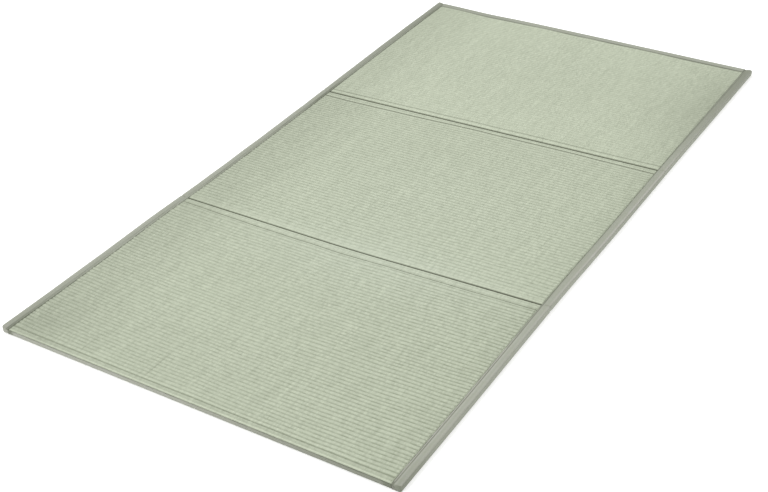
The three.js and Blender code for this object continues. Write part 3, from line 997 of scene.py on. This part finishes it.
def rib_tree():
    """Raises the rush into ribs, from the rib count and mask stored on a panel."""
    inputs = (
        ("Geometry", "Geometry"),
        ("Rise", "Float", 0.0012),
        ("Roundness", "Float", 2.4),
        ("Unevenness", "Float", 0.25),
        ("Seed", "Float", 0.0),
        ("Rush", "Material"),
    )
    outputs = (("Geometry", "Geometry"),)
    tree, given, result = new_tree("Raise rush ribs", "GeometryNodeTree", inputs, outputs)

    def stored(name, kind):
        node = add_node(tree, "GeometryNodeInputNamedAttribute", {"Name": name}, data_type=kind)
        return node.outputs["Attribute"]

    count = stored("rib_count", "FLOAT")
    place = add_node(tree, "ShaderNodeSeparateXYZ", {"Vector": stored("rush_place", "FLOAT_VECTOR")})
    off_crest = maths("ABSOLUTE", off_middle(count))
    profile = maths("SUBTRACT", 1.0, maths("POWER", off_crest, given["Roundness"]))
    across = times(place.outputs["X"], 28.0)
    spot = point(tree, X=across, Y=times(maths("FLOOR", count), 0.83), Z=given["Seed"])
    change = times(maths("SUBTRACT", noise_at(spot, 1.0, 3.0), 0.5), given["Unevenness"])
    height = times(profile, maths("ADD", 1.0, times(change, 2.0)))
    rise = times(times(height, given["Rise"]), stored("rib_mask", "FLOAT"))
    wires = {"Geometry": given["Geometry"], "Offset": point(tree, Z=rise)}
    moved = add_node(tree, "GeometryNodeSetPosition", wires)
    end_tree(tree, moved.outputs[0], given["Rush"], result)
    return tree


def stitch_tree():
    """Sews a row of short stitches along each line of a mesh."""
    inputs = (
        ("Geometry", "Geometry"),
        ("Stitch length", "Float", 0.003),
        ("Spacing", "Float", 0.004),
        ("Thread", "Float", 0.0007),
        ("Seed", "Int", 1),
        ("Thread finish", "Material"),
    )
    outputs = (("Geometry", "Geometry"),)
    tree, given, result = new_tree("Sew stitches", "GeometryNodeTree", inputs, outputs)
    line = add_node(tree, "GeometryNodeMeshToCurve", {"Mesh": given["Geometry"]})
    wires = {"Curve": line.outputs[0], "Length": given["Spacing"]}
    even = add_node(tree, "GeometryNodeResampleCurve", wires, mode="LENGTH")
    ball = add_node(tree, "GeometryNodeMeshUVSphere", {"Segments": 6, "Rings": 4, "Radius": 0.5})
    size = point(tree, X=given["Stitch length"], Y=given["Thread"], Z=times(given["Thread"], 0.8))
    thread = add_node(tree, "GeometryNodeTransform", {"Geometry": ball.outputs[0], "Scale": size})
    wires = {"Vector": tree.nodes.new("GeometryNodeInputTangent").outputs[0]}
    along = add_node(tree, "FunctionNodeAlignRotationToVector", wires, axis="X")
    wires = {"Min": (0.85, 0.9, 0.8), "Max": (1.1, 1.15, 1.2), "Seed": given["Seed"]}
    vary = add_node(tree, "FunctionNodeRandomValue", wires, data_type="FLOAT_VECTOR")
    wires = {"Points": even, "Instance": thread, "Rotation": along, "Scale": vary}
    wires = {name: node.outputs[0] for name, node in wires.items()}
    sewn = add_node(tree, "GeometryNodeInstanceOnPoints", wires)
    end_tree(tree, sewn.outputs[0], given["Thread finish"], result)
    return tree


def stem_group():
    """Shader group: rush stems lying side by side, crossing over on every other rib."""
    inputs = (("Place", "Vector"), ("Stem width", "Float", 0.0018), ("Seed", "Float", 0.0))
    outputs = (("Height", "Float"), ("Stem tone", "Float"), ("Furrow", "Float"), ("Split", "Float"))
    tree, given, result = new_tree("Rush stems", "ShaderNodeTree", inputs, outputs)
    place = add_node(tree, "ShaderNodeSeparateXYZ", {"Vector": given["Place"]}).outputs
    across, count, seed = place["X"], place["Y"], given["Seed"]

    # Stems side by side, half a stem over on every other rib, and drifting a little
    rib = maths("FLOOR", count)
    odd = maths("MODULO", maths("ADD", rib, 400.0), 2.0)
    drift = noise_at(point(tree, X=times(across, 60.0), Y=times(count, 0.35), Z=seed), 1.0, 2.0)
    cell = times_plus(odd, 0.5, maths("DIVIDE", across, given["Stem width"]))
    cell = times_plus(drift, 2.4, cell)
    off_stem = off_middle(cell)
    stem = maths("FLOOR", cell)
    round_top = maths("SQRT", maths("SUBTRACT", 1.0, times(off_stem, off_stem)))

    # Tone of each stem on each rib, of each stem over a few ribs, and of soft knots
    bead = random_at(point(tree, X=stem, Y=rib, Z=seed), "3D")
    run = random_at(point(tree, X=stem, Y=maths("FLOOR", times(count, 0.11)), Z=seed), "3D")
    knot = noise_at(point(tree, X=times(across, 150.0), Y=times(rib, 3.7), Z=seed), 1.0, 2.0)
    tone = times_plus(bead, 0.22, times(run, 0.28))
    tone = times_plus(remap(knot, 0.38, 0.62), 0.5, tone)

    # Broken lines of painted shade in the furrows between the ribs, and painted shade beside a few loose
    # stems
    dash = noise_at(point(tree, X=times(across, 45.0), Y=maths("ROUND", count), Z=seed), 1.0, 3.0)
    off_rib = maths("ABSOLUTE", off_middle(count))
    furrow = times(maths("POWER", off_rib, 3.5), remap(dash, 0.36, 0.6, 0.3, 1.0))
    beside = maths("POWER", maths("MAXIMUM", off_stem, 0.0), 3.0)
    split = times(beside, maths("GREATER_THAN", run, 0.93))
    for name, socket in zip(("Height", "Stem tone", "Furrow", "Split"), (round_top, tone, furrow, split)):
        tree.links.new(socket, result[name])
    return tree


def weave_group():
    """Shader group: a plain weave, with the height and the tone of its threads."""
    inputs = (("Place", "Vector"), ("Thread pitch", "Float", 0.0008), ("Seed", "Float", 0.0))
    outputs = (("Height", "Float"), ("Thread tone", "Float"))
    tree, given, result = new_tree("Cloth weave", "ShaderNodeTree", inputs, outputs)
    place = add_node(tree, "ShaderNodeSeparateXYZ", {"Vector": given["Place"]}).outputs
    wobble = noise_at(given["Place"], 240.0, 2.0)
    waves, tones = [], []
    for name, seed in (("X", given["Seed"]), ("Y", CROSS_THREAD_SEED)):
        thread = times_plus(wobble, 0.6, maths("DIVIDE", place[name], given["Thread pitch"]))
        waves.append(maths("SINE", times(thread, math.pi)))
        tones.append(random_at(point(tree, X=maths("FLOOR", thread), Y=seed), "2D"))
    tree.links.new(times_plus(times(*waves), 0.5, 0.5), result["Height"])
    tree.links.new(times(maths("ADD", *tones), 0.5), result["Thread tone"])
    return tree


def fade_group():
    """Shader group: slow changes of tone, as cloth and rush fade unevenly in use."""
    inputs = (
        ("Place", "Vector"),
        ("Patch size", "Float", 0.2),
        ("Stretch", "Vector", (1.0, 1.0, 1.0)),
        ("Seed", "Float", 0.0),
    )
    tree, given, result = new_tree("Soft fading", "ShaderNodeTree", inputs, (("Fade", "Float"),))
    wires = {0: given["Place"], 1: given["Stretch"]}
    stretched = add_node(tree, "ShaderNodeVectorMath", wires, operation="MULTIPLY")
    wires = {
        "Vector": stretched.outputs[0],
        "W": given["Seed"],
        "Scale": maths("DIVIDE", 1.0, given["Patch size"]),
        "Detail": 4.0,
        "Roughness": 0.55,
    }
    patch = add_node(tree, "ShaderNodeTexNoise", wires, noise_dimensions="4D")
    tree.links.new(remap(patch.outputs[0], 0.3, 0.7), result["Fade"])
    return tree


GROUPS = {}


def group_node(tree, maker, wires):
    """Places a shared shader group, building it the first time it is asked for."""
    if maker.__name__ not in GROUPS:
        GROUPS[maker.__name__] = maker()
    return add_node(tree, "ShaderNodeGroup", wires, node_tree=GROUPS[maker.__name__]).outputs


def new_material(name, roughness):
    """A material with its Principled shader set up."""
    material = bpy.data.materials.new(name)
    material.use_nodes = True
    tree = material.node_tree
    shader = next(n for n in tree.nodes if n.type == "BSDF_PRINCIPLED")
    shader.inputs["Roughness"].default_value = roughness
    shader.inputs["Specular IOR Level"].default_value = 0.3
    return material, tree, shader.inputs


def mark(tree, name, output="Fac"):
    """What is stored on a piece's points by this name."""
    return add_node(tree, "ShaderNodeAttribute", attribute_name=name).outputs[output]


def mixed(factor, first, second, blend="MIX"):
    """A colour mix's result, by a wired factor, from sockets or plain colours."""
    wires = {0: factor, 6: first, 7: second}
    return add_node(factor.id_data, "ShaderNodeMix", wires, data_type="RGBA", blend_type=blend).outputs[2]


def scaled(colour, amount):
    """A colour made lighter or darker, as four numbers."""
    return tuple(min(c * amount, 1.0) for c in colour[:3]) + (1.0,)


def faded(colour, where, seed, layers):
    """A colour with slow changes of tone, from rows of patch size, stretch, share and colour."""
    for size, stretch, share, other in layers:
        wires = {"Place": where, "Patch size": size, "Stretch": stretch, "Seed": seed}
        fade = group_node(where.id_data, fade_group, wires)["Fade"]
        colour = mixed(times(fade, share), colour, other)
    return colour


def bump(height, distance, strength, wires=None):
    """A normal that follows a height, over another normal where wires gives one."""
    wires = {"Height": height, "Distance": distance, "Strength": strength, **(wires or {})}
    return add_node(height.id_data, "ShaderNodeBump", wires).outputs[0]


def rush_material(name, colours, tone, seed):
    """Dry, faded rush: stems of slightly different tones, with painted shade in the furrows and painted
    highlights beside its slits and on its near roll.
    """
    material, tree, shader = new_material(name, 0.62)
    where = add_node(tree, "ShaderNodeTexCoord").outputs["Object"]
    wires = {"Place": mark(tree, "rush_place", "Vector"), "Stem width": colours.stem_width, "Seed": seed}
    stems = group_node(tree, stem_group, wires)
    base = scaled(colours.rush, tone)
    pale = scaled(colours.rush_pale, tone)
    dark = scaled(colours.furrow, tone)
    colour = mixed(stems["Stem tone"], scaled(base, 0.72), scaled(pale, 1.11))
    layers = (
        (0.35, EVEN, 0.4, scaled(base, 0.94)),
        (0.02, (1.0, 0.05, 1.0), 0.5, scaled(base, 0.86)),
        (0.006, (1.0, 0.1, 1.0), 0.45, scaled(pale, 1.08)),
        (0.0035, EVEN, 0.2, scaled(pale, 1.06)),
    )
    colour = faded(colour, where, seed, layers)
    # Painted highlight on the near roll and on the smooth rush beside the slits and furrows
    colour = mixed(times(mark(tree, "worn"), 0.7, clamp=True), colour, scaled(pale, 1.32))
    colour = mixed(mark(tree, "bleached"), colour, colours.bleached)
    # Painted shade in the furrows between the ribs and beside a few loose stems
    colour = mixed(times(times(stems["Furrow"], mark(tree, "rib_mask")), 0.9), colour, dark)
    colour = mixed(times(stems["Split"], 0.7), colour, dark)
    # Painted shade where the light falls off towards the long sides and in broad patches
    colour = mixed(mark(tree, "dulled"), colour, SHADE_TINT, blend="MULTIPLY")
    colour = mixed(times(mark(tree, "shade"), 0.96), colour, colours.shadow)
    tree.links.new(colour, shader["Base Color"])
    fibre = noise_at(where, 900.0, 3.0)
    tree.links.new(remap(fibre, 0.0, 1.0, 0.55, 0.78), shader["Roughness"])
    fine = bump(fibre, 0.00008, 0.6)
    tree.links.new(bump(stems["Height"], 0.00035, 0.8, {"Normal": fine}), shader["Normal"])
    return material


def cloth_material(name, colours, tone, seed):
    """Matt woven tape, with a painted highlight along its raised edge."""
    material, tree, shader = new_material(name, 0.85)
    where = add_node(tree, "ShaderNodeTexCoord").outputs["Object"]
    wires = {"Place": mark(tree, "cloth_place", "Vector"), "Thread pitch": colours.thread_pitch, "Seed": seed}
    weave = group_node(tree, weave_group, wires)
    base = scaled(colours.cloth, tone)
    colour = mixed(weave["Thread tone"], scaled(base, 0.9), scaled(base, 1.08))
    layers = ((0.12, EVEN, 0.35, scaled(base, 0.92)), (0.005, EVEN, 0.25, scaled(base, 1.1)))
    colour = faded(colour, where, seed, layers)
    # Paler grey cloth: a painted highlight on the tapes' rims, side faces and beside the right tape's line,
    # and the own greyer colour of the near strip and of the left tape's near end
    rubbed = times(mark(tree, "rubbed"), 0.338, clamp=True)
    colour = mixed(rubbed, colour, scaled(colours.rubbed, tone))
    colour = faded(colour, where, seed + 2.0, ((0.024, EVEN, 0.4, scaled(colours.stained, tone)),))
    # Painted shade on the cloth: in its gutters and crisp line, on its darker faces, ends and folds; also its
    # darkening along the tapes
    colour = mixed(times(mark(tree, "shade"), 0.9), colour, scaled(colours.gutter, tone))
    tree.links.new(colour, shader["Base Color"])
    tree.links.new(bump(weave["Height"], 0.00018, 0.8), shader["Normal"])
    return material


def thread_material(name, colours, tone):
    """Sewing thread, with a twist along it."""
    material, tree, shader = new_material(name, 0.7)
    where = add_node(tree, "ShaderNodeTexCoord").outputs["Object"]
    patches = group_node(tree, fade_group, {"Place": where, "Patch size": 0.01, "Seed": 3.0})
    base = scaled(colours.thread, tone)
    tree.links.new(mixed(patches["Fade"], scaled(base, 0.85), scaled(base, 1.05)), shader["Base Color"])
    tree.links.new(bump(noise_at(where, 2500.0, 2.0), 0.0001, 0.6), shader["Normal"])
    return material


# Settings and operators


def number_setting(name, description, default, **kind):
    """A setting with one number."""
    return FloatProperty(name=name, description=description, default=default, **kind)


def length_setting(name, description, default):
    """A setting for a length, in metres."""
    return number_setting(name, description, default, unit="LENGTH")


def colour_setting(name, description, *default):
    """A setting for a solid colour."""
    values = {"default": (*default, 1.0), "size": 4, "subtype": "COLOR"}
    return FloatVectorProperty(name=name, description=description, **values)


class TatamiSizes(bpy.types.PropertyGroup):
    """Sizes of the ribs and of the sewing."""

    rib_rise: length_setting("Rib rise", "Height of a rib over its furrows", 0.0016)
    rib_roundness: number_setting("Rib roundness", "Low for a round rib, high for a flat one", 2.3)
    rib_unevenness: number_setting(
        "Rib unevenness", "How much a rib's height changes along it", 0.22, subtype="FACTOR"
    )
    stitch_length: length_setting("Stitch length", "Length of one stitch", 0.0031)
    stitch_spacing: length_setting("Stitch spacing", "From one stitch to the next", 0.0042)
    thread: length_setting("Thread", "Thickness of the sewing thread", 0.00065)
    seed: IntProperty(name="Seed", description="Changes what is uneven", default=4)


class TatamiFinish(bpy.types.PropertyGroup):
    """Colours of the rush, the cloth and the thread."""

    rush: colour_setting("Rush", "Main colour of the rush", 0.395, 0.437, 0.327)
    rush_pale: colour_setting("Pale rush", "Colour of the palest stems", 0.455, 0.495, 0.385)
    bleached: colour_setting("Bleached rush", "Colour of the rush that light has bleached", 0.51, 0.56, 0.47)
    # Painted shade colour for the furrows between the ribs
    furrow: colour_setting("Furrow", "Colour in the furrows between ribs", 0.225, 0.253, 0.178)
    cloth: colour_setting("Cloth", "Colour of the tapes and strips", 0.305, 0.322, 0.27)
    # Paler cloth colour, for painted highlights and for the greyer near strip
    rubbed: colour_setting("Paler cloth", "Colour of the cloth on its raised edge", 0.44, 0.425, 0.405)
    stained: colour_setting("Stained cloth", "Colour of cloth stained by rush dust", 0.295, 0.305, 0.232)
    # Painted shade colour of the cloth, deepest in its gutter
    gutter: colour_setting("Gutter", "Colour of the cloth in its gutter beside the rush", 0.14, 0.152, 0.112)
    shadow: colour_setting("Shadow", "Colour deep in the slits, furrows and splits", 0.1, 0.108, 0.07)
    thread: colour_setting("Thread", "Colour of the sewing thread", 0.3, 0.32, 0.25)
    stem_width: length_setting("Stem width", "From one rush stem to the next", 0.0018)
    thread_pitch: length_setting("Thread pitch", "From one thread of the cloth to the next", 0.0008)


def aimed(context, data, place, right, back):
    """A camera or a lamp in the scene, at its place, with its right and its back turned this way."""
    up = np.cross(back, right)
    matrix = Matrix.Identity(4)
    for i in range(3):
        matrix[i] = (right[i], up[i], back[i], place[i])
    made = bpy.data.objects.new(data.name, data)
    made.matrix_world = matrix
    context.scene.collection.objects.link(made)
    return made


class TATAMI_OT_stage(bpy.types.Operator):
    """Sets up the camera, the floor and the soft light"""

    bl_idname = "tatami.stage"
    bl_label = "Camera, floor and light"

    def execute(self, context):
        look = np.array(CAMERA_LOOK) / np.linalg.norm(CAMERA_LOOK)
        right = np.array(CAMERA_RIGHT)
        right = right - (right @ look) * look
        data = bpy.data.cameras.new("view")
        data.sensor_fit = "HORIZONTAL"
        data.sensor_width = SENSOR_WIDTH
        data.lens = FOCAL_PIXELS / PHOTO_PIXELS * SENSOR_WIDTH
        data.clip_end = 50
        context.scene.camera = aimed(context, data, CAMERA_PLACE, right / np.linalg.norm(right), -look)
        context.scene.view_settings.view_transform = "Standard"
        mesh = bpy.data.meshes.new("floor")
        corners = [(x * FLOOR_REACH, y * FLOOR_REACH, FLOOR_LEVEL) for x, y in FLOOR_CORNERS]
        mesh.from_pydata(corners, [], [(0, 1, 2, 3)])
        floor = new_piece("floor", mesh)
        material, _, shader = new_material("floor_white", 0.9)
        shader["Base Color"].default_value = (0.9, 0.9, 0.9, 1.0)
        shader["Emission Color"].default_value = WHITE
        shader["Emission Strength"].default_value = FLOOR_GLOW
        floor.data.materials.append(material)
        world = bpy.data.worlds.new("soft_daylight")
        world.use_nodes = True
        sky = next(n for n in world.node_tree.nodes if n.type == "BACKGROUND")
        sky.inputs["Color"].default_value = WHITE
        sky.inputs["Strength"].default_value = SKY_STRENGTH
        context.scene.world = world
        for spec in LIGHTS:
            lamp = bpy.data.lights.new(spec["name"], "AREA")
            lamp.shape = "DISK"
            lamp.size = spec["size"]
            lamp.energy = spec["power"]
            back = np.array(spec["place"]) / np.linalg.norm(spec["place"])
            side = np.cross((0, 0, 1), back)
            aimed(context, lamp, spec["place"], side / np.linalg.norm(side), back)
        return {"FINISHED"}


class TATAMI_OT_panels(bpy.types.Operator):
    """Makes the three rush panels, with their ribs raised by a node tree"""

    bl_idname = "tatami.panels"
    bl_label = "Rush panels"

    def execute(self, context):
        sizes = context.scene.tatami_sizes
        finish = context.scene.tatami_finish
        tree = rib_tree()
        for index, panel in enumerate(PANELS):
            piece = new_piece(panel["node"] + "_rush", panel_mesh(index))
            name = "rush_" + panel["node"].split("_")[-1]
            inputs = {
                "Rise": sizes.rib_rise,
                "Roundness": sizes.rib_roundness,
                "Unevenness": sizes.rib_unevenness,
                "Seed": float(sizes.seed + index),
                "Rush": rush_material(name, finish, panel["tone"], float(index)),
            }
            settle_nodes(piece, tree, inputs)
            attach(piece, "root")
            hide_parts(panel["node"])
        return {"FINISHED"}


class TATAMI_OT_bindings(bpy.types.Operator):
    """Makes the long tapes and the end strips"""

    bl_idname = "tatami.bindings"
    bl_label = "Tapes and end strips"

    def execute(self, context):
        finish = context.scene.tatami_finish
        made = (
            ("left", tape_mesh("left"), 1.0, TAPE_FLAT),
            ("right", tape_mesh("right"), 1.0, TAPE_FLAT),
            ("near", strip_mesh("near"), 0.95, STRIPS["near"]["flat"]),
            ("far", strip_mesh("far"), 1.0, STRIPS["far"]["flat"]),
        )
        for seed, (name, mesh, tone, flat) in enumerate(made, CLOTH_SEED):
            piece = new_piece("binding_" + name + "_cloth", mesh)
            piece.data.materials.append(cloth_material("cloth_" + name, finish, tone, float(seed)))
            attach(piece, "root")
            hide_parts("binding_" + name)
        return {"FINISHED"}


def seam_line(index, name, from_end):
    """Points of a sewn line across a panel, from tape to tape."""
    margin = (FLAP + SEAM_CLEAR) / WIDTH
    across = np.linspace(margin, 1 - margin, SEAM_POINTS)
    place = from_end + end_sway(PANELS[index][name], across, from_end)
    x, y = lay_panel(across, from_its_end(name, place, panel_length(index)), index)
    return np.column_stack([x, y, np.full_like(x, SEAM_HEIGHT)])


def tape_line(side):
    """Points of the sewn line along a tape's flap."""
    along = np.linspace(TAPE_SEAM_CLEAR, LENGTH - TAPE_SEAM_CLEAR, TAPE_SEAM_POINTS)
    x = INWARD[side] * (side_start(side, along) + TAPE_SEAM)
    return np.column_stack([x, along - LENGTH / 2, np.full_like(x, TAPE_SEAM_HEIGHT)])


class TATAMI_OT_stitches(bpy.types.Operator):
    """Sews the stitches along the tapes and across the panels with a node tree"""

    bl_idname = "tatami.stitches"
    bl_label = "Stitches"

    def execute(self, context):
        sizes = context.scene.tatami_sizes
        finish = context.scene.tatami_finish
        tree = stitch_tree()
        rows = {"stitches_" + side: [tape_line(side)] for side in INWARD}
        for index, panel in enumerate(PANELS):
            lines = [seam_line(index, name, f) for name in ENDS for f in panel[name]["furrows"]]
            rows["stitches_" + panel["node"].split("_")[-1]] = lines
        cloth_thread = thread_material("thread_tape", finish, 1.12)
        rush_thread = thread_material("thread_rush", finish, 1.0)
        for seed, (name, lines) in enumerate(rows.items(), sizes.seed):
            points, edges = [], []
            for line in lines:
                first = len(points)
                points += (line * MM).tolist()
                edges += [(i, i + 1) for i in range(first, len(points) - 1)]
            mesh = bpy.data.meshes.new(name)
            mesh.from_pydata(points, edges, [])
            piece = new_piece(name, mesh)
            on_tape = name in ("stitches_left", "stitches_right")
            inputs = {
                "Stitch length": sizes.stitch_length,
                "Spacing": sizes.stitch_spacing,
                "Thread": sizes.thread,
                "Seed": seed,
                "Thread finish": cloth_thread if on_tape else rush_thread,
            }
            settle_nodes(piece, tree, inputs)
            piece.data.polygons.foreach_set("use_smooth", np.ones(len(piece.data.polygons), dtype=bool))
            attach(piece, "root")
        return {"FINISHED"}


class TATAMI_PT_panel(bpy.types.Panel):
    """Lists the mat's pieces and settings"""

    bl_idname = "TATAMI_PT_panel"
    bl_label = "Tatami mat"
    bl_space_type = "VIEW_3D"
    bl_region_type = "UI"
    bl_category = "Tatami mat"

    def draw(self, context):
        for settings in (context.scene.tatami_sizes, context.scene.tatami_finish):
            box = self.layout.box()
            for name in settings.__annotations__:
                box.prop(settings, name)
        for operator in OPERATORS:
            self.layout.operator(operator.bl_idname)


OPERATORS = (TATAMI_OT_stage, TATAMI_OT_panels, TATAMI_OT_bindings, TATAMI_OT_stitches)
CLASSES = (TatamiSizes, TatamiFinish) + OPERATORS + (TATAMI_PT_panel,)


def register():
    """Registers the settings, the operators and the sidebar panel."""
    for item in CLASSES:
        bpy.utils.register_class(item)
    bpy.types.Scene.tatami_sizes = PointerProperty(type=TatamiSizes)
    bpy.types.Scene.tatami_finish = PointerProperty(type=TatamiFinish)


def unregister():
    """Takes away what register added."""
    del bpy.types.Scene.tatami_sizes
    del bpy.types.Scene.tatami_finish
    for item in reversed(CLASSES):
        bpy.utils.unregister_class(item)


def main():
    """Makes the whole scene."""
    register()
    bpy.ops.tatami.stage()
    bpy.ops.tatami.panels()
    bpy.ops.tatami.bindings()
    bpy.ops.tatami.stitches()


if __name__ == "__main__":
    main()
